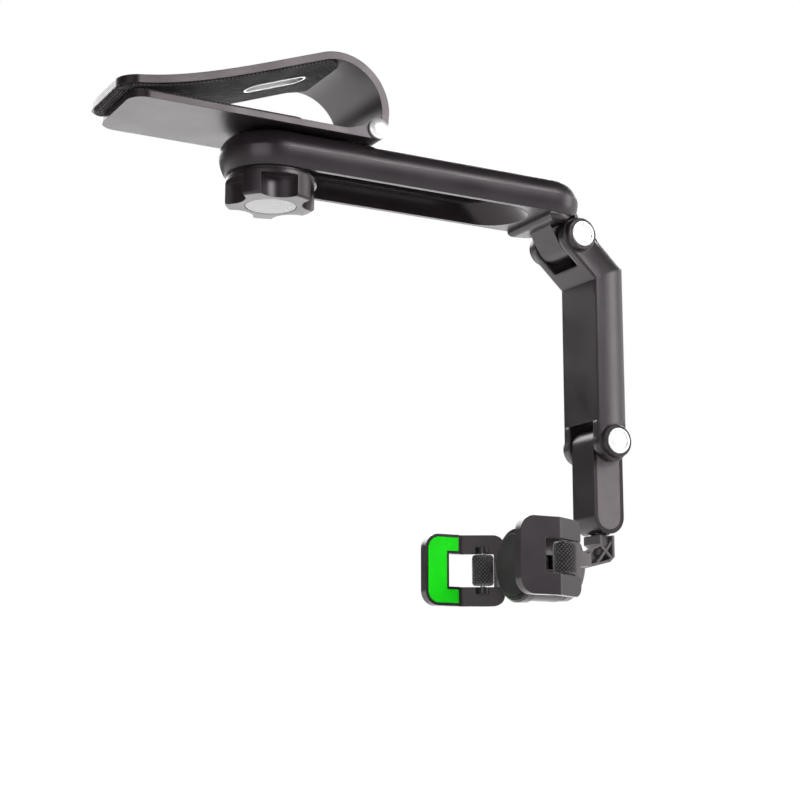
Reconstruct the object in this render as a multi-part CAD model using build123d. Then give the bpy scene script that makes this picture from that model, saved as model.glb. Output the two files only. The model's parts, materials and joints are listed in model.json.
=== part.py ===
"""Sun-visor phone mount: a sprung visor clip, a sliding arm, two folding hinges and a phone holder.

Millimetres. +X runs along the long arm from the clip's mouth to the upper hinge, +Y across it, +Z up.
The origin is on the lower grip pad, where the sun visor lies.
"""
from build123d import *
from math import asin, cos, pi, radians, sin, tan
import os

# clip
CLIP_HALF_WIDTH = 20.5
PLATE_TOP = -1.0
PLATE_BOTTOM = -3.7
PLATE_MOUTH_X = -47.5
JAW_MOUTH_X = -52.0
JAW_TIP_Z = 3.9
JAW_THICKNESS = 3.2
PAD_THICKNESS = 0.8
CORNER_RADIUS = 7.0
LOOP_CENTRE = (39.3, 8.0)
LOOP_RADIUS = 22.1
LOOP_SLOPE = 20.3
CLIP_PIN = (56.3, 0.6)
CLIP_PIN_RADIUS = 2.0
EAR_RADIUS = 4.3
EAR_INNER = 14.5
JAW_SLOT_X = 19.7
JAW_SLOT_LENGTH = 25.0
JAW_SLOT_HALF = 3.6
SLOT_LIP = 0.8
SLOT_TRIM_SUNK = 1.0
SLOT_TRIM_PROUD = 0.3
MOUTH_RIDGES = (0.02, 0.035, 0.05)

# clamp and knob
PIVOT_X = 18.7
BOLT_RADIUS = 3.0
KNOB_TOP = -21.4
KNOB_BOTTOM = -31.9
KNOB_RADIUS = 18.3
KNOB_LOBES = 5
SCOOP_RADIUS = 8.8
SCOOP_DISTANCE = 21.4
SCOOP_START = -103.0
KNOB_CAP_RADIUS = 10.3
SLIDE_TRAVEL = 92.0

# long arm
ARM_TOP = -4.5
ARM_BOTTOM = -20.1
ARM_HALF = 20.0
ARM_RIM_HALF = 17.7
ARM_TOP_RADIUS = 8.0
ARM_START_X = 17.5
ARM_END_X = 143.3
ARM_WALL = 2.5
LINER_HALF = 16.9
RECESS_HALF = 15.6
RECESS_END_X = 122.5
RECESS_SLOPE_RUN = 9.5
RAIL_END_X = 113.0
RECESS_DEPTH = 8.6
RECESS_TOP_HALF = 15.1
RAIL_HALF = 13.4
LINER_END_X = 141.4
KNUCKLE_BOTTOM = -23.1
KNUCKLE_ROUND = 2.4

# hinges, tongue and lower arm
HINGE_1 = (158.8, -27.3)
HINGE_2 = (175.0, -116.5)
TONGUE_HALF = 8.0
TONGUE_RADIUS = 7.8
TONGUE_ANGLE = 120.0
TONGUE_PIN_RADIUS = 1.5
TONGUE_PIN_REACH = 14.5
HINGE_PIN_RADIUS = 2.5
EAR_GAP_HALF = 8.9
BOSS_RADIUS = 7.0
BOSS_OUTER = 15.9
CAP_RADIUS = 5.6
LOWER_HALF = 13.3
LOWER_FRONT = 8.1
LOWER_BACK = 13.5
EAR_OUTER = 12.2
EAR_PROUD = 0.2
UPPER_LEG_ANGLE = -42.0
NOTCH_RADIUS = 12.5
COVER_THICKNESS = 1.0
COVER_HALF = 11.7
COVER_Z = (-107.5, -45.8)

# drop link, bracket and holder
LINK_RADIUS = 7.6
LINK_LENGTH = 31.4
LINK_BOTTOM = -155.5
BRACKET_TOP = -155.9
FOOT_RADIUS = 4.6
SWIVEL_RADIUS = 2.2
ROLL_STUD_RADIUS = 2.5
HOLDER_Z = -169.8
HOLDER_FACE_X = 130.7
HOUSING_RADIUS = 15.0
HOUSING_FRONT_X = 132.5
HOUSING_SPLIT_X = 137.0
HOUSING_BACK_X = 153.0
ROLL_CAP_RADIUS = 14.6
ROLL_CAP_X = (153.6, 158.0)
BRACKET_HALF = 6.0
RIB = 1.1

# phone jaws and their rack drive (the jaws are drawn holding a phone JAW_FACE_Y to each side)
JAW_FACE_Y = 35.5
JAW_HALF_HEIGHT = 15.4
JAW_PLATE = 3.0
JAW_FRONT_X = 109.6
JAW_BEND_X = 128.4
JAW_BACK_X = 144.2
JAW_BEND_ANGLE = 30.0
BEND_RADIUS = 3.5
GREEN_PAD = 1.2
NOTCH_X = 121.2
NOTCH_HALF = 7.1
ROLLER_RADIUS = 4.8
ROLLER_POS = (135.7, 31.4)
BAR_HALF_HEIGHT = 2.7
BAR_THICKNESS = 2.5
BAR_Z = (HOLDER_Z - BAR_HALF_HEIGHT, HOLDER_Z + BAR_HALF_HEIGHT)
BAR_HEAD_X = (141.0, 143.6)
BAR_HEAD_Y = (-30.9, -28.2)
RIGHT_BAR_X = 146.5
LEFT_BAR_X = 138.0
ROLLER_PIN_RADIUS = 1.1
PINION_PIN_RADIUS = 1.0
PINION_PIN_Z = (-10.0, -7.6)
PINION_X = 143.5
PINION_TEETH = 8
MODULE = 0.75


def box(x0, x1, y0, y1, z0, z1):
    """A box between two corners."""
    centre = Pos((x0 + x1) / 2, (y0 + y1) / 2, (z0 + z1) / 2)
    return centre * Box(x1 - x0, y1 - y0, z1 - z0)


def rod_x(radius, x0, x1, y, z):
    """A cylinder along X."""
    return Pos((x0 + x1) / 2, y, z) * Rot(0, 90, 0) * Cylinder(radius, x1 - x0)


def rod_y(radius, y0, y1, x, z):
    """A cylinder along Y."""
    return Pos(x, (y0 + y1) / 2, z) * Rot(90, 0, 0) * Cylinder(radius, y1 - y0)


def rod_z(radius, z0, z1, x, y):
    """A cylinder along Z."""
    return Pos(x, y, (z0 + z1) / 2) * Cylinder(radius, z1 - z0)


def both_sides(shape):
    """A shape and its mirror image across the XZ plane."""
    return shape + mirror(shape, Plane.XZ)


def side_prism(face, half_width):
    """A side view in X and Z, extruded across the width."""
    return extrude(Plane.XZ * face, half_width, both=True)


def flat_racetrack(x0, x1, half_width, z):
    """A slot-shaped face whose end centres are at x0 and x1."""
    return Pos((x0 + x1) / 2, 0, z) * SlotCenterToCenter(x1 - x0, 2 * half_width)


def racetrack(x0, x1, half_width, z0, z1):
    """A slot-shaped block whose end centres are at x0 and x1."""
    return extrude(flat_racetrack(x0, x1, half_width, z0), z1 - z0)


def round_plan(x0, x1, half_width, radius, z0=-60.0, z1=60.0):
    """A tall block with rounded corners, for trimming outlines seen from above."""
    outline = RectangleRounded(x1 - x0, 2 * half_width, radius)
    return extrude(Pos((x0 + x1) / 2, 0, z0) * outline, z1 - z0)


def domed_rod_y(radius, crown, y0, y1, x, z):
    """A cylinder along +Y whose far end is a shallow dome of the given crown."""
    ball = (radius ** 2 + crown ** 2) / (2 * crown)
    half_turn = asin(radius / ball) / 2
    middle = (ball * sin(half_turn), y1 - ball + ball * cos(half_turn))
    rim = (radius, y1 - crown)
    sides = Polyline((0, y1), (0, y0), (radius, y0), rim).edges()
    return Pos(x, 0, z) * revolve(make_face(sides + [ThreePointArc(rim, middle, (0, y1))]), Axis.Y, 360)


def save(node, shape):
    """Write one node's STEP file."""
    export_step(shape, f"parts/{node}.step")


def coil(radius, wire, length, turns):
    """A helical wire along +Z from the origin."""
    path = Helix(length / turns, length, radius)
    section = Plane(path @ 0, z_dir=path % 0) * Circle(wire)
    return sweep(section, path)


# ---------------------------------------------------------------- clip

def jaw_skin(depth):
    """The upper jaw's side line at a depth under its outer skin, from mouth to hinge pin."""
    slope = radians(LOOP_SLOPE)
    middle_slope = radians(17.5)
    radius = LOOP_RADIUS - depth
    top = (LOOP_CENTRE[0] - radius * sin(slope), LOOP_CENTRE[1] + radius * cos(slope))
    rear = (LOOP_CENTRE[0] + radius, LOOP_CENTRE[1])
    middle = (-17.0 + depth * sin(middle_slope), 11.2 - depth * cos(middle_slope))
    mouth = (JAW_MOUTH_X, JAW_TIP_Z - depth)
    rise = Spline(mouth, middle, top, tangents=[(1, 0.08), (cos(slope), sin(slope))])
    loop = CenterArc(LOOP_CENTRE, radius, 90 + LOOP_SLOPE, -90 - LOOP_SLOPE)
    drop = Line(rear, (rear[0] - 0.6, CLIP_PIN[1]))
    return [rise, loop, drop], mouth, drop @ 1


def jaw_layer(outer_depth, inner_depth):
    """The side view of a layer of the upper jaw between two depths."""
    outer, outer_mouth, outer_end = jaw_skin(outer_depth)
    inner, inner_mouth, inner_end = jaw_skin(inner_depth)
    return make_face(outer + inner + [Line(outer_mouth, inner_mouth), Line(outer_end, inner_end)])


def jaw_slot(half_width):
    """A tall slot-shaped block where the finger slot runs through the upper jaw and its pad."""
    reach = JAW_SLOT_LENGTH / 2 - JAW_SLOT_HALF
    return racetrack(JAW_SLOT_X - reach, JAW_SLOT_X + reach, half_width, 0, 50)


def clip_upper_jaw():
    ribbon = side_prism(jaw_layer(0, JAW_THICKNESS), CLIP_HALF_WIDTH)
    ribbon &= round_plan(JAW_MOUTH_X, 120, CLIP_HALF_WIDTH, CORNER_RADIUS)
    ribbon -= jaw_slot_trim()
    ribbon -= jaw_slot(JAW_SLOT_HALF)
    ribbon -= rod_y(EAR_RADIUS + 0.4, -30, 30, *CLIP_PIN)
    knuckle_inner = 7.0
    knuckle_outer = EAR_INNER - 0.3
    web = side_prism(make_face(Polyline(CLIP_PIN, (61.0, 0.6), (61.2, 6.4), (58.2, 6.4), CLIP_PIN)), 30)
    knuckle = rod_y(EAR_RADIUS, knuckle_inner, knuckle_outer, *CLIP_PIN)
    knuckle += web & box(50, 70, knuckle_inner, knuckle_outer, -5, 10)
    jaw = ribbon + both_sides(knuckle)
    return jaw - rod_y(CLIP_PIN_RADIUS + 0.05, -30, 30, *CLIP_PIN)


def jaw_slot_trim():
    """A bright ring round the finger slot, let into the jaw and standing a little proud of the pad."""
    layer = jaw_layer(JAW_THICKNESS - SLOT_TRIM_SUNK, JAW_THICKNESS + PAD_THICKNESS + SLOT_TRIM_PROUD)
    ring = side_prism(layer, CLIP_HALF_WIDTH) & jaw_slot(JAW_SLOT_HALF + SLOT_LIP)
    return ring - jaw_slot(JAW_SLOT_HALF)


def upper_grip_pad():
    layer = side_prism(jaw_layer(JAW_THICKNESS, JAW_THICKNESS + PAD_THICKNESS), 19.3)
    layer &= round_plan(JAW_MOUTH_X + 1.0, 41.0, 19.3, 6.0, 0.0, 40.0)
    underside = jaw_skin(JAW_THICKNESS + PAD_THICKNESS)[0][0]
    for fraction in MOUTH_RIDGES:
        ridge = underside @ fraction
        layer += box(ridge.X - 0.4, ridge.X + 0.4, -13.0, 13.0, ridge.Y - 0.4, ridge.Y + 0.4)
    return layer - jaw_slot(JAW_SLOT_HALF + SLOT_LIP)


def clip_lower_plate():
    plate = round_plan(PLATE_MOUTH_X, 70, CLIP_HALF_WIDTH, CORNER_RADIUS, PLATE_BOTTOM, PLATE_TOP)
    plate &= box(-60, CLIP_PIN[0], -30, 30, -10, 10)
    plate -= box(50.4, 70, -EAR_INNER, EAR_INNER, -10, 10)
    rise = ThreePointArc((37, PLATE_TOP), (46.5, 0.0), (53.6, 3.9))
    corners = Polyline(rise @ 1, CLIP_PIN, (CLIP_PIN[0], PLATE_BOTTOM), (37, PLATE_BOTTOM), (37, PLATE_TOP))
    cheek = side_prism(make_face([rise] + corners.edges()), 30)
    cheek &= box(30, 70, EAR_INNER, CLIP_HALF_WIDTH, -10, 10)
    cheek += rod_y(EAR_RADIUS, EAR_INNER, CLIP_HALF_WIDTH, *CLIP_PIN)
    plate += both_sides(cheek)
    plate -= rod_y(CLIP_PIN_RADIUS + 0.02, -30, 30, *CLIP_PIN)
    plate -= rod_z(7.2, PLATE_TOP - 1.3, 5, PIVOT_X, 0)
    return plate - box(PIVOT_X - 3.1, PIVOT_X + 3.1, -3.1, 3.1, -10, 5)


def lower_grip_pad():
    return round_plan(PLATE_MOUTH_X + 1.2, 26.0, 19.3, 6.0, PLATE_TOP, 0.0)


def clip_hinge_pin():
    return mirror(clip_pin_end_cap(), Plane.XZ) + rod_y(CLIP_PIN_RADIUS, -20.7, 20.5, *CLIP_PIN)


def clip_pin_end_cap():
    return domed_rod_y(EAR_RADIUS, 1.1, 20.6, 22.8, *CLIP_PIN)


def clip_torsion_spring():
    wire = 0.5
    radius = 3.2
    coil_half = 5.6
    spring = Pos(CLIP_PIN[0], coil_half, CLIP_PIN[1]) * Rot(90, 0, 0) * coil(radius, wire, 2 * coil_half, 8)
    return spring + rod_x(wire, CLIP_PIN[0] - 15, CLIP_PIN[0] - 3.0, coil_half, PLATE_TOP + wire + 0.05)


def pivot_bolt():
    head = rod_z(7.0, PLATE_TOP - 1.3, PLATE_TOP - 0.05, PIVOT_X, 0)
    neck = box(PIVOT_X - 3, PIVOT_X + 3, -3, 3, PLATE_BOTTOM, PLATE_TOP - 1.3)
    return head + neck + rod_z(BOLT_RADIUS, -28.9, PLATE_BOTTOM, PIVOT_X, 0)


# ---------------------------------------------------------------- clamp and knob

def ring_z(outer, inner, z0, z1):
    """A flat ring about the clip's pivot."""
    return rod_z(outer, z0, z1, PIVOT_X, 0) - rod_z(inner, z0 - 1, z1 + 1, PIVOT_X, 0)


def slide_block():
    block = rod_z(RAIL_HALF - 0.3, -12.4, ARM_TOP - ARM_WALL - 0.1, PIVOT_X, 0)
    return block - rod_z(BOLT_RADIUS + 0.08, -40, 0, PIVOT_X, 0)


def clamp_knob():
    knob = rod_z(KNOB_RADIUS, KNOB_BOTTOM, KNOB_TOP, PIVOT_X, 0)
    knob = fillet(knob.edges().sort_by(Axis.Z)[0], 1.2)
    knob = fillet(knob.edges().sort_by(Axis.Z)[-1], 0.4)
    for lobe in range(KNOB_LOBES):
        turn = radians(SCOOP_START + lobe * 360 / KNOB_LOBES)
        centre_x = PIVOT_X + SCOOP_DISTANCE * cos(turn)
        knob -= rod_z(SCOOP_RADIUS, KNOB_BOTTOM - 1, KNOB_TOP - 1.9, centre_x, SCOOP_DISTANCE * sin(turn))
    knob -= rod_z(KNOB_CAP_RADIUS + 0.15, KNOB_BOTTOM - 1, KNOB_BOTTOM + 2.6, PIVOT_X, 0)
    nut_space = extrude(Pos(PIVOT_X, 0, KNOB_BOTTOM) * RegularPolygon(5.8, 6), 8.2)
    return knob - nut_space - rod_z(BOLT_RADIUS + 0.08, -40, 0, PIVOT_X, 0)


def knob_cap():
    cap = rod_z(KNOB_CAP_RADIUS, KNOB_BOTTOM, KNOB_BOTTOM + 2.5, PIVOT_X, 0)
    return fillet(cap.edges().sort_by(Axis.Z)[0], 0.4)


def knob_nut_insert():
    nut = extrude(Pos(PIVOT_X, 0, KNOB_BOTTOM + 2.7) * RegularPolygon(5.75, 6), 5.4)
    return nut - rod_z(BOLT_RADIUS + 0.02, -40, 0, PIVOT_X, 0)


# ---------------------------------------------------------------- long arm

def arm_half_section():
    """The right half of the arm's cross-section: flat bottom, bulging side and round shoulder."""
    shoulder = ARM_HALF - ARM_TOP_RADIUS
    side_z = ARM_TOP - ARM_TOP_RADIUS
    top = Line((0, ARM_TOP), (shoulder, ARM_TOP))
    corner = CenterArc((shoulder, side_z), ARM_TOP_RADIUS, 90, -90)
    bulge = ThreePointArc((ARM_HALF, side_z), (ARM_HALF - 0.65, -16.4), (ARM_RIM_HALF, ARM_BOTTOM))
    bottom = Line((ARM_RIM_HALF, ARM_BOTTOM), (0, ARM_BOTTOM))
    return make_face([top, corner, bulge, bottom, Line((0, ARM_BOTTOM), (0, ARM_TOP))])


def arm_body():
    """The arm's outer form: a straight run with a round end at each side."""
    half = arm_half_section()
    straight = extrude(Plane.YZ.offset(ARM_START_X) * half, ARM_END_X - ARM_START_X)
    end = revolve(Plane.XZ * half, Axis.Z, 360)
    return both_sides(straight) + Pos(ARM_START_X, 0, 0) * end + Pos(ARM_END_X, 0, 0) * end


def tongue_point(distance):
    """A point on the tongue's centre line at a distance from the upper hinge."""
    angle = radians(TONGUE_ANGLE)
    return HINGE_1[0] + distance * cos(angle), HINGE_1[1] + distance * sin(angle)


def tongue_blank(radius, half_width, length):
    """The bar that leads from the upper hinge up into the arm's end."""
    bar = rod_y(radius, -half_width, half_width, 0, 0)
    bar += box(0, length, -half_width, half_width, -radius, radius)
    return Pos(HINGE_1[0], 0, HINGE_1[1]) * Rot(0, -TONGUE_ANGLE, 0) * bar


def arm_shell():
    knuckle = rod_z(ARM_RIM_HALF - 0.3, KNUCKLE_BOTTOM, ARM_BOTTOM, ARM_END_X, 0)
    knuckle &= box(LINER_END_X + 0.1, 170, -30, 30, -30, 0)
    knuckle = fillet(knuckle.edges().group_by(Axis.Z)[0], KNUCKLE_ROUND)
    shell = arm_body() + knuckle
    cavity = racetrack(ARM_START_X, ARM_END_X, LINER_HALF + 0.05, ARM_BOTTOM - 0.1, ARM_TOP - ARM_WALL)
    shell -= cavity & box(-50, LINER_END_X + 0.05, -30, 30, -30, 0)
    shell -= racetrack(PIVOT_X, PIVOT_X + SLIDE_TRAVEL, BOLT_RADIUS + 0.4, -10, 0)
    shell -= tongue_blank(TONGUE_RADIUS + 0.05, TONGUE_HALF + 0.05, 20.1)
    shell -= rod_y(LOWER_FRONT + 0.9, -30, 30, *HINGE_1)
    return shell - rod_y(TONGUE_PIN_RADIUS, -15, 15, *tongue_point(TONGUE_PIN_REACH))


def arm_slot_liner():
    liner = racetrack(ARM_START_X, ARM_END_X, LINER_HALF, ARM_BOTTOM, ARM_TOP - ARM_WALL)
    liner &= box(-50, LINER_END_X, -30, 30, -30, 0)
    recess_top = ARM_BOTTOM + RECESS_DEPTH
    recess_floor_end = RECESS_END_X - RECESS_SLOPE_RUN
    mouth = flat_racetrack(ARM_START_X, RECESS_END_X, RECESS_HALF, ARM_BOTTOM)
    liner -= loft([mouth, flat_racetrack(ARM_START_X, recess_floor_end, RECESS_TOP_HALF, recess_top)])
    liner -= racetrack(ARM_START_X, RAIL_END_X, RAIL_HALF, recess_top - 0.5, 0)
    return liner - tongue_blank(TONGUE_RADIUS + 0.05, TONGUE_HALF + 0.05, 20.1)


def arm_end_tongue():
    tongue = tongue_blank(TONGUE_RADIUS, TONGUE_HALF, 20.0)
    tongue -= rod_y(HINGE_PIN_RADIUS + 0.02, -30, 30, *HINGE_1)
    return tongue - rod_y(TONGUE_PIN_RADIUS, -30, 30, *tongue_point(TONGUE_PIN_REACH))


def tongue_pin():
    return rod_y(TONGUE_PIN_RADIUS, -15, 15, *tongue_point(TONGUE_PIN_REACH))


# ---------------------------------------------------------------- hinges and lower arm

def hinge_pin(hinge):
    return rod_y(HINGE_PIN_RADIUS, -14.1, 14.1, *hinge)


def hinge_washers(hinge):
    washer = rod_y(6.6, TONGUE_HALF + 0.05, EAR_GAP_HALF - 0.05, *hinge)
    return both_sides(washer - rod_y(HINGE_PIN_RADIUS + 0.05, 0, 30, *hinge))


def hinge_caps(hinge):
    """Two bright caps, each a raised ring around a shallow dome, pressed into the ends of the bosses."""
    cap = rod_y(CAP_RADIUS - 0.05, 14.2, BOSS_OUTER + 0.8, *hinge)
    cap = fillet(cap.edges().sort_by(Axis.Y)[-1], 0.6)
    cap -= rod_y(CAP_RADIUS - 1.1, BOSS_OUTER + 0.2, BOSS_OUTER + 2, *hinge)
    dome = domed_rod_y(CAP_RADIUS - 1.35, 0.8, BOSS_OUTER - 1, BOSS_OUTER + 1.1, *hinge)
    return both_sides(cap + dome)


def lower_arm_side():
    """The lower arm's side view: an eye at each hinge and a dog-leg between them."""
    leg = radians(UPPER_LEG_ANGLE)
    bend_front = (HINGE_2[0] - LOWER_FRONT, -45.4)
    bend_back = (HINGE_2[0] + LOWER_BACK, -36.6)
    shoulder = 10.0
    upper_back = (
        HINGE_1[0] + shoulder * cos(leg) - LOWER_BACK * sin(leg),
        HINGE_1[1] + shoulder * sin(leg) + LOWER_BACK * cos(leg),
    )
    lower_back = (bend_back[0], HINGE_2[1] + shoulder)
    upper = make_hull(
        (Pos(*HINGE_1) * Circle(LOWER_FRONT)).edges() + Polyline(upper_back, bend_back, bend_front).edges()
    )
    lower = make_hull(
        (Pos(*HINGE_2) * Circle(LOWER_FRONT)).edges() + Polyline(lower_back, bend_back, bend_front).edges()
    )
    outline = upper + lower
    corner = outline.vertices().sort_by_distance(bend_back + (0,))[0]
    return fillet(corner, 3.0)


def lower_arm_body():
    """The lower arm's outer form, swept along its bent centre line and trimmed to its side view."""
    leg = radians(UPPER_LEG_ANGLE)
    reach = (HINGE_2[0] - HINGE_1[0]) / cos(leg)
    bend = (HINGE_2[0], 0, HINGE_1[1] + reach * sin(leg))
    start = (HINGE_1[0] - 20 * cos(leg), 0, HINGE_1[1] - 20 * sin(leg))
    path = Polyline(start, bend, (HINGE_2[0], 0, HINGE_2[1] - 20))
    section = Plane(start, x_dir=(-sin(leg), 0, cos(leg)), z_dir=(cos(leg), 0, sin(leg)))
    body = sweep(section * lower_section(), path, transition=Transition.RIGHT)
    return body & side_prism(lower_arm_side(), 30)


def lower_section():
    """The lower arm's cross-section: flat in front, with an elliptical back."""
    depth = LOWER_BACK + LOWER_FRONT
    outline = Ellipse(depth, LOWER_HALF) & Pos(depth, 0) * Rectangle(2 * depth, 4 * LOWER_HALF)
    outline = fillet(outline.vertices(), 0.8)
    return Pos(-LOWER_FRONT, 0) * outline


def front_cover_space(clearance):
    """The room that the front cover takes out of the lower arm."""
    front = HINGE_2[0] - LOWER_FRONT
    half = COVER_HALF + clearance
    bottom, top = COVER_Z[0] - clearance, COVER_Z[1] + clearance
    return box(front - 1, front + COVER_THICKNESS + clearance, -half, half, bottom, top)


def lower_arm_shell():
    shell = lower_arm_body() - front_cover_space(0.12)
    for hinge in (HINGE_1, HINGE_2):
        ear = rod_y(LOWER_FRONT + EAR_PROUD, EAR_GAP_HALF, EAR_OUTER, *hinge)
        ear = fillet(ear.edges().sort_by(Axis.Y)[-1], 1.0)
        shell += both_sides(ear)
        boss = rod_y(BOSS_RADIUS, EAR_GAP_HALF, BOSS_OUTER, *hinge)
        boss = chamfer(boss.edges().sort_by(Axis.Y)[-1], 0.4)
        shell += both_sides(boss)
        shell -= rod_y(NOTCH_RADIUS, -EAR_GAP_HALF, EAR_GAP_HALF, *hinge)
        shell -= both_sides(rod_y(CAP_RADIUS, 14.15, 20, *hinge))
        shell -= rod_y(HINGE_PIN_RADIUS, -20, 20, *hinge)
    return shell


def lower_arm_front_cover():
    return lower_arm_body() & front_cover_space(0)


# ---------------------------------------------------------------- drop link and bracket

def link_outline(radius):
    """The drop link's side view: a racetrack between the lower hinge and the swivel."""
    middle = HINGE_2[1] - LINK_LENGTH / 2
    return Pos(HINGE_2[0], middle) * Rot(0, 0, 90) * SlotCenterToCenter(LINK_LENGTH, 2 * radius)


def drop_link():
    link = side_prism(link_outline(LINK_RADIUS), TONGUE_HALF)
    link += rod_z(FOOT_RADIUS, LINK_BOTTOM, HINGE_2[1] - LINK_LENGTH, HINGE_2[0], 0)
    link -= both_sides(extrude(Plane.XZ.offset(-7.35) * link_outline(LINK_RADIUS - 1.8), -2))
    link -= rod_y(HINGE_PIN_RADIUS + 0.02, -30, 30, *HINGE_2)
    return link - rod_z(SWIVEL_RADIUS + 0.02, -170, LINK_BOTTOM + 8, HINGE_2[0], 0)


def drop_link_side_covers():
    cover = extrude(Plane.XZ.offset(-7.4) * link_outline(LINK_RADIUS - 1.85), -0.6)
    return both_sides(cover - rod_y(HINGE_PIN_RADIUS + 0.1, 0, 30, *HINGE_2))


def swivel_stud():
    shaft = rod_z(SWIVEL_RADIUS, BRACKET_TOP - 6.5, LINK_BOTTOM + 8, HINGE_2[0], 0)
    return shaft + rod_z(SWIVEL_RADIUS + 0.9, BRACKET_TOP - 6.5, BRACKET_TOP - 5.2, HINGE_2[0], 0)


def swivel_friction_washer():
    washer = rod_z(3.5, BRACKET_TOP, LINK_BOTTOM - 0.05, HINGE_2[0], 0)
    return washer - rod_z(SWIVEL_RADIUS + 0.1, -170, -150, HINGE_2[0], 0)


def bracket_outline():
    """The bracket's side view: a post under the drop link that turns forward to the holder's hub."""
    points = [
        (171.3, BRACKET_TOP), (178.8, BRACKET_TOP), (178.8, -165.1), (176.4, -167.3),
        (ROLL_CAP_X[1] - 1, -172.2), (ROLL_CAP_X[1] - 1, -164.9), (163.9, -163.0), (171.3, -159.7),
    ]
    return make_face(Polyline(points, close=True))


def bracket_ribs():
    """Crossing ribs over the bracket's open sides."""
    inner_corner = (171.3, -159.7)
    ends = [
        (inner_corner, (178.4, -166.4)),
        ((179.4, -156.6), (168.6, -169.6)),
        ((168.2, -161.4), (160.8, -171.6)),
        ((161.0, -163.6), (166.4, -170.2)),
    ]
    return [side_prism(trace(Line(*pair), RIB), BRACKET_HALF - 0.3) for pair in ends]


def holder_bracket():
    outline = bracket_outline()
    bracket = side_prism(outline, BRACKET_HALF)
    pocket = side_prism(offset(outline, -RIB, kind=Kind.INTERSECTION), 20)
    pocket += box(171.3 + RIB, 178.8 - RIB, -20, 20, BRACKET_TOP - 2, BRACKET_TOP)
    pocket -= box(150, ROLL_CAP_X[1] + 0.5, -20, 20, -180, -150)
    pocket -= box(150, 190, -1.5, 1.5, -180, -150)
    pocket -= rod_z(4.2, -164.2, -150, HINGE_2[0], 0)
    bracket -= pocket - bracket_ribs()
    hub = rod_x(ROLL_CAP_RADIUS, *ROLL_CAP_X, 0, HOLDER_Z)
    hub = fillet(hub.edges().sort_by(Axis.X)[-1], 1.2)
    bracket += hub
    bracket -= rod_z(SWIVEL_RADIUS + 0.05, BRACKET_TOP - 8, -150, HINGE_2[0], 0)
    bracket -= rod_z(SWIVEL_RADIUS + 0.98, BRACKET_TOP - 6.6, BRACKET_TOP - 5.1, HINGE_2[0], 0)
    return bracket - rod_x(ROLL_STUD_RADIUS, 140, 157.5, 0, HOLDER_Z)


# ---------------------------------------------------------------- holder

def roll_stud():
    shaft = rod_x(ROLL_STUD_RADIUS, 149.9, 157.5, 0, HOLDER_Z)
    return shaft + rod_x(ROLL_STUD_RADIUS + 1.0, 149.6, 150.7, 0, HOLDER_Z)


def roll_friction_washer():
    washer = rod_x(9.0, HOUSING_BACK_X + 0.05, ROLL_CAP_X[0], 0, HOLDER_Z)
    return washer - rod_x(ROLL_STUD_RADIUS + 0.1, 150, 160, 0, HOLDER_Z)


def bar_slots():
    """The windows through the housing that the two slide bars run in."""
    half = BAR_HALF_HEIGHT + 0.15
    right = (RIGHT_BAR_X - 0.65, RIGHT_BAR_X + BAR_THICKNESS + 0.15)
    left = (LEFT_BAR_X - 0.15, LEFT_BAR_X + BAR_THICKNESS + 0.65)
    return [box(*x_range, -30, 30, HOLDER_Z - half, HOLDER_Z + half) for x_range in (right, left)]


def holder_housing():
    housing = rod_x(HOUSING_RADIUS, HOUSING_SPLIT_X, HOUSING_BACK_X, 0, HOLDER_Z)
    housing = fillet(housing.edges().sort_by(Axis.X)[-1], 1.0)
    housing -= rod_x(HOUSING_RADIUS - 2.0, HOUSING_SPLIT_X - 1, 149.5, 0, HOLDER_Z)
    housing -= bar_slots()
    housing -= rod_x(ROLL_STUD_RADIUS + 0.05, 140, 160, 0, HOLDER_Z)
    housing -= rod_x(ROLL_STUD_RADIUS + 1.05, 149, 150.8, 0, HOLDER_Z)
    for z0, z1 in (PINION_PIN_Z, (-PINION_PIN_Z[1], -PINION_PIN_Z[0])):
        housing += rod_z(2.6, HOLDER_Z + z0, HOLDER_Z + z1, PINION_X, 0)
        housing += box(PINION_X, 149.6, -1.6, 1.6, HOLDER_Z + z0, HOLDER_Z + z1)
    return housing - rod_z(PINION_PIN_RADIUS, HOLDER_Z - 11, HOLDER_Z + 11, PINION_X, 0)


def holder_front_plate():
    plate = rod_x(HOUSING_RADIUS + 0.8, HOUSING_FRONT_X, HOUSING_SPLIT_X - 0.05, 0, HOLDER_Z)
    plate = chamfer(plate.edges().sort_by(Axis.X)[0], 0.8)
    spigot = rod_x(HOUSING_RADIUS - 2.1, HOUSING_SPLIT_X - 1, HOUSING_SPLIT_X + 0.7, 0, HOLDER_Z)
    return plate + spigot - rod_x(13.1, HOUSING_FRONT_X - 1, HOUSING_FRONT_X + 0.5, 0, HOLDER_Z)


def phone_rest_pad():
    pad = rod_x(13.0, HOLDER_FACE_X, HOUSING_FRONT_X + 0.5, 0, HOLDER_Z)
    return fillet(pad.edges().sort_by(Axis.X)[0], 0.6)


def pinion_pin():
    return rod_z(PINION_PIN_RADIUS, HOLDER_Z - 11, HOLDER_Z + 11, PINION_X, 0)


def tooth(root, tip, root_half, tip_half):
    """A straight-sided gear tooth pointing along +X."""
    corners = [(root, -root_half), (tip, -tip_half), (tip, tip_half), (root, root_half)]
    return make_face(Polyline(corners, close=True))


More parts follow.
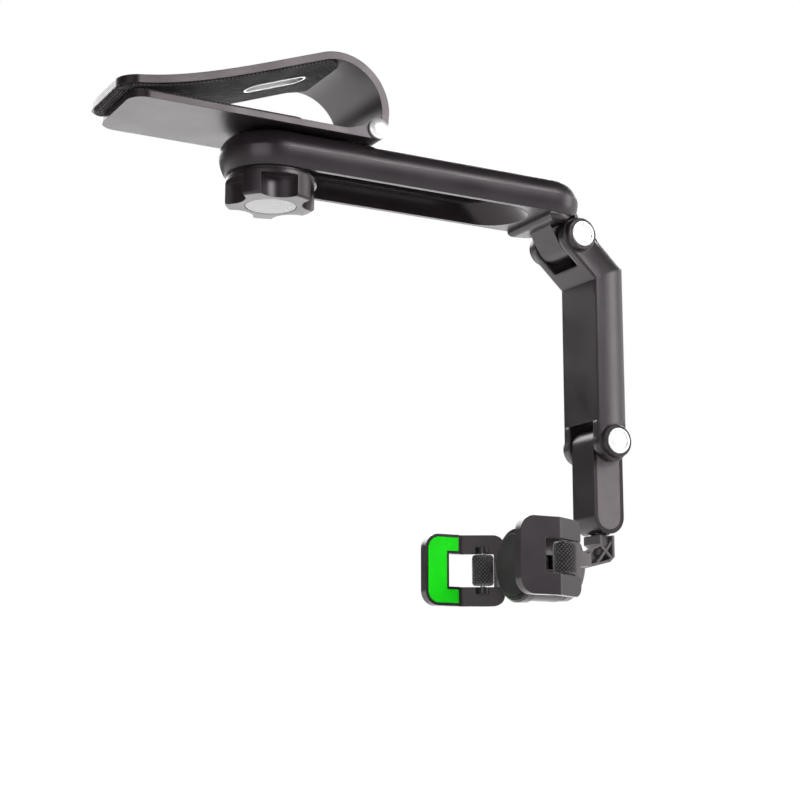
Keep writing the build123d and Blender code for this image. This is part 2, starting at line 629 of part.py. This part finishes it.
def rack_pinion():
    """The small gear that makes both jaws move by the same amount."""
    pitch_radius = MODULE * PINION_TEETH / 2
    outline = Circle(pitch_radius - 0.75)
    for index in range(PINION_TEETH):
        outline += Rot(0, 0, (index + 0.5) * 360 / PINION_TEETH) * tooth(2.0, pitch_radius + 0.45, 0.62, 0.2)
    gear = extrude(Pos(PINION_X, 0, HOLDER_Z - BAR_HALF_HEIGHT) * outline, 2 * BAR_HALF_HEIGHT)
    return gear - rod_z(PINION_PIN_RADIUS + 0.04, HOLDER_Z - 11, HOLDER_Z + 11, PINION_X, 0)


def jaw_torsion_spring():
    return Pos(PINION_X, 0, HOLDER_Z + BAR_HALF_HEIGHT + 0.6) * coil(1.9, 0.3, 3.4, 4)


def rack_bar(x_teeth, x_back, y_end):
    """The right jaw's slide bar (towards low Y) with a rack of teeth on the side that faces the pinion."""
    direction = 1 if x_back > x_teeth else -1
    root_x = x_teeth + direction * 0.6
    bar = box(*sorted((root_x, x_back)), -33.0, y_end, *BAR_Z)
    spacing = pi * MODULE
    for index in range(-5, 5):
        side = tooth(-0.2, 1.05, 0.52, 0.22)
        turned = Rot(0, 0, 180 if direction > 0 else 0) * side
        place = Pos(root_x, (index + 1) * spacing, HOLDER_Z - BAR_HALF_HEIGHT)
        bar += extrude(place * turned, 2 * BAR_HALF_HEIGHT)
    return bar


def bar_head():
    """The upright that fills the right jaw's notch behind the roller and ties the bar to both prongs."""
    return box(*BAR_HEAD_X, *BAR_HEAD_Y, HOLDER_Z - NOTCH_HALF, HOLDER_Z + NOTCH_HALF)


def right_slide_bar():
    bar = rack_bar(RIGHT_BAR_X, RIGHT_BAR_X + BAR_THICKNESS, 11.5)
    bar &= box(140, 160, BAR_HEAD_Y[0], 20, -200, -100)
    bar += box(BAR_HEAD_X[0], RIGHT_BAR_X + BAR_THICKNESS, *BAR_HEAD_Y, *BAR_Z)
    return bar + bar_head()


def left_slide_bar():
    bar = rack_bar(LEFT_BAR_X + BAR_THICKNESS, LEFT_BAR_X, 11.5) & box(130, 150, -24.5, 20, -200, -100)
    bar += box(LEFT_BAR_X, BAR_HEAD_X[1], -25.6, -22.6, *BAR_Z)
    bar += box(*BAR_HEAD_X, BAR_HEAD_Y[0], -22.6, *BAR_Z)
    return mirror(bar + bar_head(), Plane.XZ)


def right_jaw():
    outer_y = -(JAW_FACE_Y + GREEN_PAD + JAW_PLATE)
    slope = tan(radians(JAW_BEND_ANGLE))
    fall = (JAW_BACK_X - JAW_BEND_X) * slope
    slant = JAW_PLATE / cos(radians(JAW_BEND_ANGLE))
    inner_bend = JAW_BEND_X - (slant - JAW_PLATE) / slope
    plan = Polyline(
        (JAW_FRONT_X, outer_y), (JAW_BEND_X, outer_y), (JAW_BACK_X, outer_y + fall),
        (JAW_BACK_X, outer_y + fall + slant), (inner_bend, outer_y + JAW_PLATE),
        (JAW_FRONT_X, outer_y + JAW_PLATE), close=True,
    )
    plan = make_face(plan)
    bend = [v for v in plan.vertices() if abs(v.X - JAW_BEND_X) < 2]
    plan = fillet(bend, BEND_RADIUS)
    jaw = extrude(Pos(0, 0, HOLDER_Z) * plan, JAW_HALF_HEIGHT, both=True)
    jaw_z = (HOLDER_Z - JAW_HALF_HEIGHT, HOLDER_Z + JAW_HALF_HEIGHT)
    rim = box(JAW_FRONT_X, inner_bend - 1.2, outer_y + JAW_PLATE - 1, -JAW_FACE_Y, *jaw_z)
    jaw += rim - jaw_pad_space(0.05)
    jaw = jaw & jaw_side_outline()
    for side in (-1, 1):
        z0, z1 = sorted((HOLDER_Z + side * (NOTCH_HALF + 0.2), HOLDER_Z + side * (NOTCH_HALF + 3.0)))
        lug = rod_z(2.4, z0, z1, ROLLER_POS[0], -ROLLER_POS[1])
        lug += box(ROLLER_POS[0] - 2.4, ROLLER_POS[0] + 2.4, -ROLLER_POS[1] - 2.4, -ROLLER_POS[1], z0, z1)
        jaw += lug
    jaw -= box(NOTCH_X, 160, -50, 0, HOLDER_Z - NOTCH_HALF, HOLDER_Z + NOTCH_HALF)
    return jaw - rod_z(ROLLER_PIN_RADIUS, HOLDER_Z - 9.4, HOLDER_Z + 9.4, ROLLER_POS[0], -ROLLER_POS[1])


def jaw_side_outline():
    """The jaw's rounded outline seen from the side, as a trimming block."""
    middle = (JAW_FRONT_X + JAW_BACK_X) / 2
    outline = Pos(middle, HOLDER_Z) * Rectangle(JAW_BACK_X - JAW_FRONT_X, 2 * JAW_HALF_HEIGHT)
    outline = fillet(outline.vertices().group_by(Axis.X)[0], 6.5)
    outline = fillet(outline.vertices().group_by(Axis.X)[-1], 4.5)
    return side_prism(outline, 60)


def jaw_pad_space(clearance):
    """The pocket in the jaw's inner face that holds the rubber pad."""
    outer_y = -(JAW_FACE_Y + GREEN_PAD)
    x0 = JAW_FRONT_X + 1.3 - clearance
    x1 = JAW_BEND_X - 2.6 + clearance
    outline = Pos((x0 + x1) / 2, HOLDER_Z) * Rectangle(x1 - x0, 2 * (JAW_HALF_HEIGHT - 1.3 + clearance))
    outline = fillet(outline.vertices().group_by(Axis.X)[0], 5.2)
    pad = side_prism(outline, 60) & box(0, 200, outer_y, -JAW_FACE_Y + 0.3, -200, -100)
    return pad - box(NOTCH_X - 1.2 + clearance, 160, -50, 0, HOLDER_Z - NOTCH_HALF - 1.2 + clearance,
                     HOLDER_Z + NOTCH_HALF + 1.2 - clearance)


def right_jaw_pad():
    return jaw_pad_space(0)


def right_grip_roller():
    roller = rod_z(ROLLER_RADIUS, HOLDER_Z - 6.5, HOLDER_Z + 6.5, ROLLER_POS[0], -ROLLER_POS[1])
    roller = chamfer(roller.edges().group_by(Axis.Z)[0] + roller.edges().group_by(Axis.Z)[-1], 0.4)
    return roller - rod_z(ROLLER_PIN_RADIUS + 0.05, -200, -100, ROLLER_POS[0], -ROLLER_POS[1])


def right_roller_pin():
    return rod_z(ROLLER_PIN_RADIUS, HOLDER_Z - 9.4, HOLDER_Z + 9.4, ROLLER_POS[0], -ROLLER_POS[1])


NODES = {
    "clip_lower_plate": clip_lower_plate,
    "lower_grip_pad": lower_grip_pad,
    "clip_upper_jaw": clip_upper_jaw,
    "jaw_slot_trim": jaw_slot_trim,
    "upper_grip_pad": upper_grip_pad,
    "clip_hinge_pin": clip_hinge_pin,
    "clip_pin_end_cap": clip_pin_end_cap,
    "clip_torsion_spring": clip_torsion_spring,
    "pivot_bolt": pivot_bolt,
    "swivel_washer": lambda: ring_z(9.0, BOLT_RADIUS + 0.1, ARM_TOP + 0.05, PLATE_BOTTOM),
    "slide_block": slide_block,
    "knob_thrust_washer": lambda: ring_z(17.0, BOLT_RADIUS + 0.1, KNOB_TOP + 0.05, ARM_BOTTOM - 0.05),
    "clamp_knob": clamp_knob,
    "knob_cap": knob_cap,
    "knob_nut_insert": knob_nut_insert,
    "arm_shell": arm_shell,
    "arm_slot_liner": arm_slot_liner,
    "arm_end_tongue": arm_end_tongue,
    "tongue_pin": tongue_pin,
    "lower_arm_shell": lower_arm_shell,
    "lower_arm_front_cover": lower_arm_front_cover,
    "upper_hinge_pin": lambda: hinge_pin(HINGE_1),
    "lower_hinge_pin": lambda: hinge_pin(HINGE_2),
    "upper_hinge_washers": lambda: hinge_washers(HINGE_1),
    "lower_hinge_washers": lambda: hinge_washers(HINGE_2),
    "upper_hinge_caps": lambda: hinge_caps(HINGE_1),
    "lower_hinge_caps": lambda: hinge_caps(HINGE_2),
    "drop_link": drop_link,
    "drop_link_side_covers": drop_link_side_covers,
    "swivel_stud": swivel_stud,
    "swivel_friction_washer": swivel_friction_washer,
    "holder_bracket": holder_bracket,
    "roll_stud": roll_stud,
    "roll_friction_washer": roll_friction_washer,
    "holder_housing": holder_housing,
    "holder_front_plate": holder_front_plate,
    "phone_rest_pad": phone_rest_pad,
    "pinion_pin": pinion_pin,
    "rack_pinion": rack_pinion,
    "jaw_torsion_spring": jaw_torsion_spring,
    "right_slide_bar": right_slide_bar,
    "left_slide_bar": left_slide_bar,
}
MIRRORED = {
    "jaw": right_jaw,
    "jaw_pad": right_jaw_pad,
    "grip_roller": right_grip_roller,
    "roller_pin": right_roller_pin,
}

os.makedirs("parts", exist_ok=True)
for node, build in NODES.items():
    save(node, build())
for name, build in MIRRORED.items():
    shape = build()
    save(f"right_{name}", shape)
    save(f"left_{name}", mirror(shape, Plane.XZ))
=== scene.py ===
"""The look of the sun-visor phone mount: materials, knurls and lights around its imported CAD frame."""
import json
import math

import bmesh
import bpy
from mathutils import Matrix, Vector


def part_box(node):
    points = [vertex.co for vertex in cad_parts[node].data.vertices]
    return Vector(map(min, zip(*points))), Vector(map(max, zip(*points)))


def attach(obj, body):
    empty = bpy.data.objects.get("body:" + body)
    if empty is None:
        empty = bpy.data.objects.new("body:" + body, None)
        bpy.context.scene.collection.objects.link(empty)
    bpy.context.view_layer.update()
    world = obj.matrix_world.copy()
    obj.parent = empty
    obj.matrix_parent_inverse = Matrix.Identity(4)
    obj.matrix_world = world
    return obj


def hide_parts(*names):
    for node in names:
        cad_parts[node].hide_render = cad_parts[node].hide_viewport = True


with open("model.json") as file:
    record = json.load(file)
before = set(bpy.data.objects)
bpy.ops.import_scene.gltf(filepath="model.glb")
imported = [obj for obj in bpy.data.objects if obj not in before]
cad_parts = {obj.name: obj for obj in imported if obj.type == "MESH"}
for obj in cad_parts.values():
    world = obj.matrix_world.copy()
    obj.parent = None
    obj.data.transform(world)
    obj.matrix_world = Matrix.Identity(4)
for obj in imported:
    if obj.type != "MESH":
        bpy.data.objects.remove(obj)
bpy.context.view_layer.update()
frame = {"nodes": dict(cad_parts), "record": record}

MM = 0.001
NODES = frame["nodes"]
WARM_SHEEN = (1.0, 0.90, 0.95, 1.0)
WEAVE_PITCH = 1.7 * MM
EDGE_SOFTNESS = 0.35 * MM
BEND_SOFTNESS = 1.6 * MM

# knurled grip rollers
KNURLS = 18
KNURL_STEPS = 8
KNURL_DEPTH = 0.60 * MM
KNURL_ROWS = 56
KNURL_MARGIN = 0.9 * MM
ROLLER_RIM = 0.3 * MM
ROLLER_BORE = 0.28

# stage
CAMERA_PLACE = (-0.2484, -0.5950, -0.2354)
CAMERA_HEADING = 28.72
CAMERA_PITCH = 10.86
CAMERA_LENS = 76.2
FLOOR_Z = -0.30
FLOOR_REACH = 4.0
FLOOR_FADE = (2.6, 3.6)


# ---------------------------------------------------------------- materials

def new_material(name):
    """A new material, its node tree and its shader."""
    material = bpy.data.materials.new(name)
    material.use_nodes = True
    tree = material.node_tree
    return material, tree, tree.nodes["Principled BSDF"]


def add(tree, kind, **values):
    """A node with its inputs set by name."""
    node = tree.nodes.new(kind)
    for key, value in values.items():
        label = key.replace("_", " ")
        if label in node.inputs:
            node.inputs[label].default_value = value
        else:
            setattr(node, key, value)
    return node


def noise(tree, coordinates, scale, detail=3.0, roughness=0.55):
    """A noise texture in the object's own metres."""
    node = add(tree, "ShaderNodeTexNoise", Scale=scale, Detail=detail, Roughness=roughness)
    tree.links.new(coordinates, node.inputs["Vector"])
    return node.outputs["Fac"]


def remap(tree, value, low, high, out_low, out_high):
    """A value mapped from one range to another, clamped."""
    node = tree.nodes.new("ShaderNodeMapRange")
    tree.links.new(value, node.inputs["Value"])
    for label, number in (("From Min", low), ("From Max", high), ("To Min", out_low), ("To Max", out_high)):
        node.inputs[label].default_value = number
    return node.outputs["Result"]


def mix_colours(tree, factor, first, second):
    """Two colours mixed by a factor."""
    node = tree.nodes.new("ShaderNodeMix")
    node.data_type = "RGBA"
    tree.links.new(factor, node.inputs["Factor"])
    for socket, colour in ((node.inputs["A"], first), (node.inputs["B"], second)):
        if isinstance(colour, tuple):
            socket.default_value = (*colour, 1.0)
        else:
            tree.links.new(colour, socket)
    return node.outputs["Result"]


def edge_mask(tree, radius):
    """A mask, 1 along sharp edges and 0 on flat ground, and the softened normal it comes from."""
    bevel = add(tree, "ShaderNodeBevel", Radius=radius)
    bevel.samples = 4
    geometry = tree.nodes.new("ShaderNodeNewGeometry")
    dot = tree.nodes.new("ShaderNodeVectorMath")
    dot.operation = "DOT_PRODUCT"
    tree.links.new(bevel.outputs["Normal"], dot.inputs[0])
    tree.links.new(geometry.outputs["Normal"], dot.inputs[1])
    return remap(tree, dot.outputs["Value"], 0.98, 0.80, 0.0, 1.0), bevel.outputs["Normal"]


def moulded_plastic(
    name, dark, light, roughness=0.4, edge=0.35, grain=2600.0, bump=0.06, bevel=EDGE_SOFTNESS,
):
    """Satin moulded plastic: fine spark-eroded grain, faint mottling, and sharp edges lightened partly as wear
    and partly as a painted rim highlight.
    """
    material, tree, shader = new_material(name)
    place = tree.nodes.new("ShaderNodeTexCoord").outputs["Object"]
    broad = noise(tree, place, 55.0, 4.0)
    fine = noise(tree, place, grain, 2.0)
    edges, soft_normal = edge_mask(tree, bevel)
    ground = mix_colours(tree, remap(tree, broad, 0.3, 0.7, 0.0, 1.0), dark, light)
    # Sharp edges are lightened towards this tone: partly wear, partly a painted rim highlight.
    rim_highlight_and_wear = tuple(min(1.0, c * 1.6 + 0.02) for c in light)
    shader.inputs["Specular Tint"].default_value = WARM_SHEEN
    shader.inputs["Specular IOR Level"].default_value = 0.42
    amount = remap(tree, edges, 0.0, 1.0, 0.0, edge)
    colour = mix_colours(tree, amount, ground, rim_highlight_and_wear)
    tree.links.new(colour, shader.inputs["Base Color"])
    gloss = remap(tree, broad, 0.3, 0.7, roughness - 0.04, roughness + 0.05)
    tree.links.new(gloss, shader.inputs["Roughness"])
    bumps = add(tree, "ShaderNodeBump", Strength=bump, Distance=0.1 * MM)
    tree.links.new(fine, bumps.inputs["Height"])
    tree.links.new(soft_normal, bumps.inputs["Normal"])
    tree.links.new(bumps.outputs["Normal"], shader.inputs["Normal"])
    return material


def rubber(name, dark, light, roughness=0.75, pitch=0.0, depth=0.3):
    """Matt rubber; with a pitch in metres it carries a moulded diamond pattern of that spacing, its grooves
    darkened as painted shade.
    """
    material, tree, shader = new_material(name)
    place = tree.nodes.new("ShaderNodeTexCoord").outputs["Object"]
    broad = noise(tree, place, 90.0, 4.0)
    fine = noise(tree, place, 3200.0, 2.0)
    ground = mix_colours(tree, remap(tree, broad, 0.3, 0.7, 0.0, 1.0), dark, light)
    shader.inputs["Specular IOR Level"].default_value = 0.20
    height = fine
    if pitch:
        height = diamonds(tree, place, pitch)
        # The grooves are painted near-black as painted shade, which leaves the diamond tops lighter.
        ground = mix_colours(tree, height, tuple(c * 0.15 for c in dark), ground)
    tree.links.new(ground, shader.inputs["Base Color"])
    gloss = remap(tree, fine, 0.3, 0.7, roughness - 0.08, roughness + 0.08)
    tree.links.new(gloss, shader.inputs["Roughness"])
    bumps = add(tree, "ShaderNodeBump", Strength=depth, Distance=0.30 * MM)
    tree.links.new(height, bumps.inputs["Height"])
    tree.links.new(bumps.outputs["Normal"], shader.inputs["Normal"])
    return material


def diamonds(tree, place, pitch):
    """A diamond pattern in X and Y: 1 in each diamond's middle and 0 along the crossing grooves."""
    split = tree.nodes.new("ShaderNodeSeparateXYZ")
    tree.links.new(place, split.inputs["Vector"])
    heights = []
    for sign in (1.0, -1.0):
        tilt = add(tree, "ShaderNodeMath", operation="MULTIPLY_ADD")
        tree.links.new(split.outputs["Y"], tilt.inputs[0])
        tilt.inputs[1].default_value = sign
        tree.links.new(split.outputs["X"], tilt.inputs[2])
        phase = add(tree, "ShaderNodeMath", operation="MULTIPLY")
        tree.links.new(tilt.outputs["Value"], phase.inputs[0])
        phase.inputs[1].default_value = math.pi / pitch
        wave = add(tree, "ShaderNodeMath", operation="SINE")
        tree.links.new(phase.outputs["Value"], wave.inputs[0])
        size = add(tree, "ShaderNodeMath", operation="ABSOLUTE")
        tree.links.new(wave.outputs["Value"], size.inputs[0])
        heights.append(size.outputs["Value"])
    both = add(tree, "ShaderNodeMath", operation="MULTIPLY")
    for index, height in enumerate(heights):
        tree.links.new(height, both.inputs[index])
    return both.outputs["Value"]


def metal(name, colour, roughness, brush=0.0):
    """Polished or turned metal with faint handling marks."""
    material, tree, shader = new_material(name)
    place = tree.nodes.new("ShaderNodeTexCoord").outputs["Object"]
    marks = noise(tree, place, 700.0, 5.0, 0.7)
    shader.inputs["Metallic"].default_value = 0.8
    tint = mix_colours(tree, marks, tuple(c * 0.93 for c in colour), colour)
    tree.links.new(tint, shader.inputs["Base Color"])
    tree.links.new(remap(tree, marks, 0.35, 0.75, roughness, roughness + 0.07), shader.inputs["Roughness"])
    bumps = add(tree, "ShaderNodeBump", Strength=0.03 + brush, Distance=0.05 * MM)
    tree.links.new(marks, bumps.inputs["Height"])
    tree.links.new(edge_mask(tree, 0.25 * MM)[1], bumps.inputs["Normal"])
    tree.links.new(bumps.outputs["Normal"], shader.inputs["Normal"])
    return material


BLACK_TONES = (0.0090, 0.0066, 0.0082), (0.0145, 0.0110, 0.0133)
BLACK = moulded_plastic("satin_black_plastic", *BLACK_TONES, roughness=0.33)
ROUNDED = moulded_plastic("softened_black_plastic", *BLACK_TONES, roughness=0.33, bevel=BEND_SOFTNESS)
GREY = moulded_plastic("satin_grey_plastic", (0.085, 0.076, 0.081), (0.120, 0.108, 0.115), roughness=0.40)
DARK = moulded_plastic("deep_black_plastic", (0.006, 0.005, 0.006), (0.010, 0.008, 0.009), roughness=0.45)
# The weave's light tone is raised so the diamond tops carry a painted highlight against the painted shade in
# the grooves.
WEAVE_TONES = (0.030, 0.027, 0.029), (0.110, 0.100, 0.107)
WEAVE = rubber("diamond_weave_rubber", *WEAVE_TONES, pitch=WEAVE_PITCH, depth=1.0)
REST = rubber("black_rubber", (0.009, 0.008, 0.009), (0.018, 0.016, 0.017))
GREEN = rubber("green_rubber", (0.0, 0.56, 0.0), (0.001, 0.66, 0.0), roughness=0.6)
CHROME = metal("bright_chrome", (0.90, 0.90, 0.91), 0.34)
STEEL = metal("turned_steel", (0.55, 0.55, 0.56), 0.28, brush=0.15)
KNURLED = rubber("knurled_rubber", (0.008, 0.007, 0.008), (0.018, 0.016, 0.017), roughness=0.45)
SILVER = moulded_plastic("silver_lacquer", (0.13, 0.13, 0.135), (0.17, 0.17, 0.175), roughness=0.25)

FINISH = {
    "satin_black_plastic": BLACK,
    "grey_plastic": GREY,
    "black_rubber": REST,
    "green_rubber": GREEN,
    "bright_chrome": CHROME,
    "silver_lacquer": SILVER,
    "steel": STEEL,
    "nylon_washer": DARK,
}
SPECIAL = {
    "upper_grip_pad": WEAVE,
    "lower_grip_pad": WEAVE,
    "lower_arm_shell": ROUNDED,
}


def paint(obj, material):
    """Give the whole object one material."""
    obj.data.materials.clear()
    obj.data.materials.append(material)


def dress_cad_nodes():
    """Every carried-over CAD node takes its slot's finish, or its own where one is named."""
    slots = {entry["node"]: entry["material_slot"] for entry in frame["record"]["subparts"]}
    for node, obj in NODES.items():
        paint(obj, SPECIAL.get(node, FINISH[slots[node]]))


# ---------------------------------------------------------------- new pieces

def add_piece(name, vertices, faces, material, body):
    """A smooth-shaded mesh piece that rides on a body."""
    mesh = bpy.data.meshes.new(name)
    mesh.from_pydata(vertices, [], faces)
    mesh.polygons.foreach_set("use_smooth", [True] * len(mesh.polygons))
    mesh.update()
    piece = bpy.data.objects.new(name, mesh)
    bpy.context.scene.collection.objects.link(piece)
    paint(piece, material)
    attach(piece, body)
    return piece


def knurl_tint(material):
    """Lighten a knurled surface's points."""
    tree = material.node_tree
    shader = tree.nodes["Principled BSDF"]
    ground = shader.inputs["Base Color"].links[0].from_socket
    points = remap(tree, tree.nodes.new("ShaderNodeNewGeometry").outputs["Pointiness"], 0.46, 0.56, 0.0, 1.0)
    tinted = mix_colours(tree, points, ground, (0.085, 0.079, 0.082))
    tree.links.new(tinted, shader.inputs["Base Color"])


def knurl(turn, height, radius):
    """How far a knurled surface stands up, 0 in its grooves and 1 on its points."""
    across = KNURLS * turn / 2
    along = math.pi * height / (2 * math.pi * radius / KNURLS)
    return abs(math.sin(across + along)) * abs(math.sin(across - along))


def knurled_roller(side):
    """A grip roller with a diamond knurl between two plain ends, open at its pin."""
    node = side + "_grip_roller"
    low, high = (Vector(corner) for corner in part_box(node))
    centre = (low + high) / 2
    outer = (high.x - low.x) / 2
    half = (high.z - low.z) / 2
    rim = [(-half, ROLLER_BORE * outer), (-half, outer - 0.8 * MM), (-half + ROLLER_RIM, outer - 0.45 * MM)]
    knurled_half = half - KNURL_MARGIN
    profile = rim + [(knurled_half * (2 * row / KNURL_ROWS - 1), outer) for row in range(KNURL_ROWS + 1)]
    profile += [(-height, radius) for height, radius in reversed(rim)]
    around = KNURLS * KNURL_STEPS
    vertices = []
    for height, radius in profile:
        for step in range(around):
            turn = 2 * math.pi * step / around
            depth = KNURL_DEPTH * (1 - knurl(turn, height, outer)) if radius == outer else 0.0
            reach = radius - depth
            vertices.append(centre + Vector((reach * math.cos(turn), reach * math.sin(turn), height)))
    faces = [
        (row * around + step, row * around + (step + 1) % around,
         (row + 1) * around + (step + 1) % around, (row + 1) * around + step)
        for row in range(len(profile) - 1) for step in range(around)
    ]
    piece = add_piece(side + "_knurled_roller", vertices, faces, KNURLED, side + "_roller")
    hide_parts(node)


knurl_tint(KNURLED)
for side in ("right", "left"):
    knurled_roller(side)


# ---------------------------------------------------------------- stage

def make_camera():
    """The camera, below and to the left of the mount and looking up at it."""
    data = bpy.data.cameras.new("camera")
    data.lens = CAMERA_LENS
    data.sensor_width = 36.0
    camera = bpy.data.objects.new("camera", data)
    bpy.context.scene.collection.objects.link(camera)
    heading, pitch = math.radians(CAMERA_HEADING), math.radians(CAMERA_PITCH)
    forward = Vector((
        math.sin(heading) * math.cos(pitch), math.cos(heading) * math.cos(pitch), math.sin(pitch),
    ))
    camera.location = Vector(CAMERA_PLACE)
    camera.rotation_euler = forward.to_track_quat("-Z", "Y").to_euler()
    data.clip_start = 0.01
    bpy.context.scene.camera = camera


def area_light(name, place, aim, size, power):
    """A rectangular soft box at a place, turned to its aim and unseen by the camera."""
    data = bpy.data.lights.new(name, "AREA")
    data.shape = "RECTANGLE"
    data.size, data.size_y = size
    data.energy = power
    light = bpy.data.objects.new(name, data)
    light.location = place
    light.rotation_euler = (Vector(aim) - Vector(place)).to_track_quat("-Z", "Y").to_euler()
    light.visible_camera = False
    bpy.context.scene.collection.objects.link(light)


def combine(tree, operation, first, second):
    """Two values put together by a math operation."""
    node = add(tree, "ShaderNodeMath", operation=operation)
    tree.links.new(first, node.inputs[0])
    tree.links.new(second, node.inputs[1])
    return node.outputs["Value"]


def make_world():
    """A white backdrop whose light is bright below and to the right, and dim above and to the left."""
    world = bpy.data.worlds.new("studio")
    bpy.context.scene.world = world
    world.use_nodes = True
    tree = world.node_tree
    background = tree.nodes["Background"]
    background.inputs["Color"].default_value = (1, 1, 1, 1)
    split = tree.nodes.new("ShaderNodeSeparateXYZ")
    tree.links.new(tree.nodes.new("ShaderNodeTexCoord").outputs["Generated"], split.inputs["Vector"])
    right = remap(tree, split.outputs["X"], 0.0, 0.6, 0.07, 1.0)
    level = remap(tree, split.outputs["Z"], 0.25, 0.6, 1.0, 0.10)
    lit = combine(tree, "MULTIPLY", right, level)
    lit = combine(tree, "MAXIMUM", lit, remap(tree, split.outputs["Z"], -0.03, 0.0, 1.6, 0.0))
    path = tree.nodes.new("ShaderNodeLightPath")
    mixed = tree.nodes.new("ShaderNodeMix")
    mixed.inputs["B"].default_value = 1.0
    tree.links.new(path.outputs["Is Camera Ray"], mixed.inputs["Factor"])
    tree.links.new(lit, mixed.inputs["A"])
    tree.links.new(mixed.outputs["Result"], background.inputs["Strength"])
    bpy.context.scene.view_settings.view_transform = "Standard"


def make_floor():
    """A pale floor that fades into the white backdrop far behind the mount."""
    material, tree, shader = new_material("pale_floor")
    place = tree.nodes.new("ShaderNodeTexCoord").outputs["Object"]
    shade = mix_colours(tree, noise(tree, place, 3.0), (0.86, 0.86, 0.86), (0.90, 0.90, 0.90))
    tree.links.new(shade, shader.inputs["Base Color"])
    shader.inputs["Roughness"].default_value = 0.8
    distance = add(tree, "ShaderNodeVectorMath", operation="LENGTH")
    tree.links.new(place, distance.inputs[0])
    shader.inputs["Emission Color"].default_value = (1, 1, 1, 1)
    glow = remap(tree, distance.outputs["Value"], *FLOOR_FADE, 0.0, 1.0)
    tree.links.new(glow, shader.inputs["Emission Strength"])
    mesh = bpy.data.meshes.new("floor")
    form = bmesh.new()
    bmesh.ops.create_grid(form, x_segments=8, y_segments=8, size=FLOOR_REACH)
    form.to_mesh(mesh)
    form.free()
    floor = bpy.data.objects.new("floor", mesh)
    floor.location = (0.0, 0.0, FLOOR_Z)
    bpy.context.scene.collection.objects.link(floor)
    paint(floor, material)


dress_cad_nodes()
make_camera()
make_world()
make_floor()
area_light("floor_light", (0.8, 2.2, 1.1), (0.8, 2.2, FLOOR_Z), (4.0, 2.8), 240.0)
area_light("arm_strip", (0.42, -0.70, 0.27), (0.08, 0.0, -0.01), (0.45, 0.20), 4.5)
area_light("lower_arm_box", (1.0, -0.33, 0.10), (0.175, 0.0, -0.08), (0.30, 0.50), 2.2)
area_light("left_fill", (-0.60, -0.70, -0.10), (0.14, 0.0, -0.14), (0.70, 0.70), 4.0)
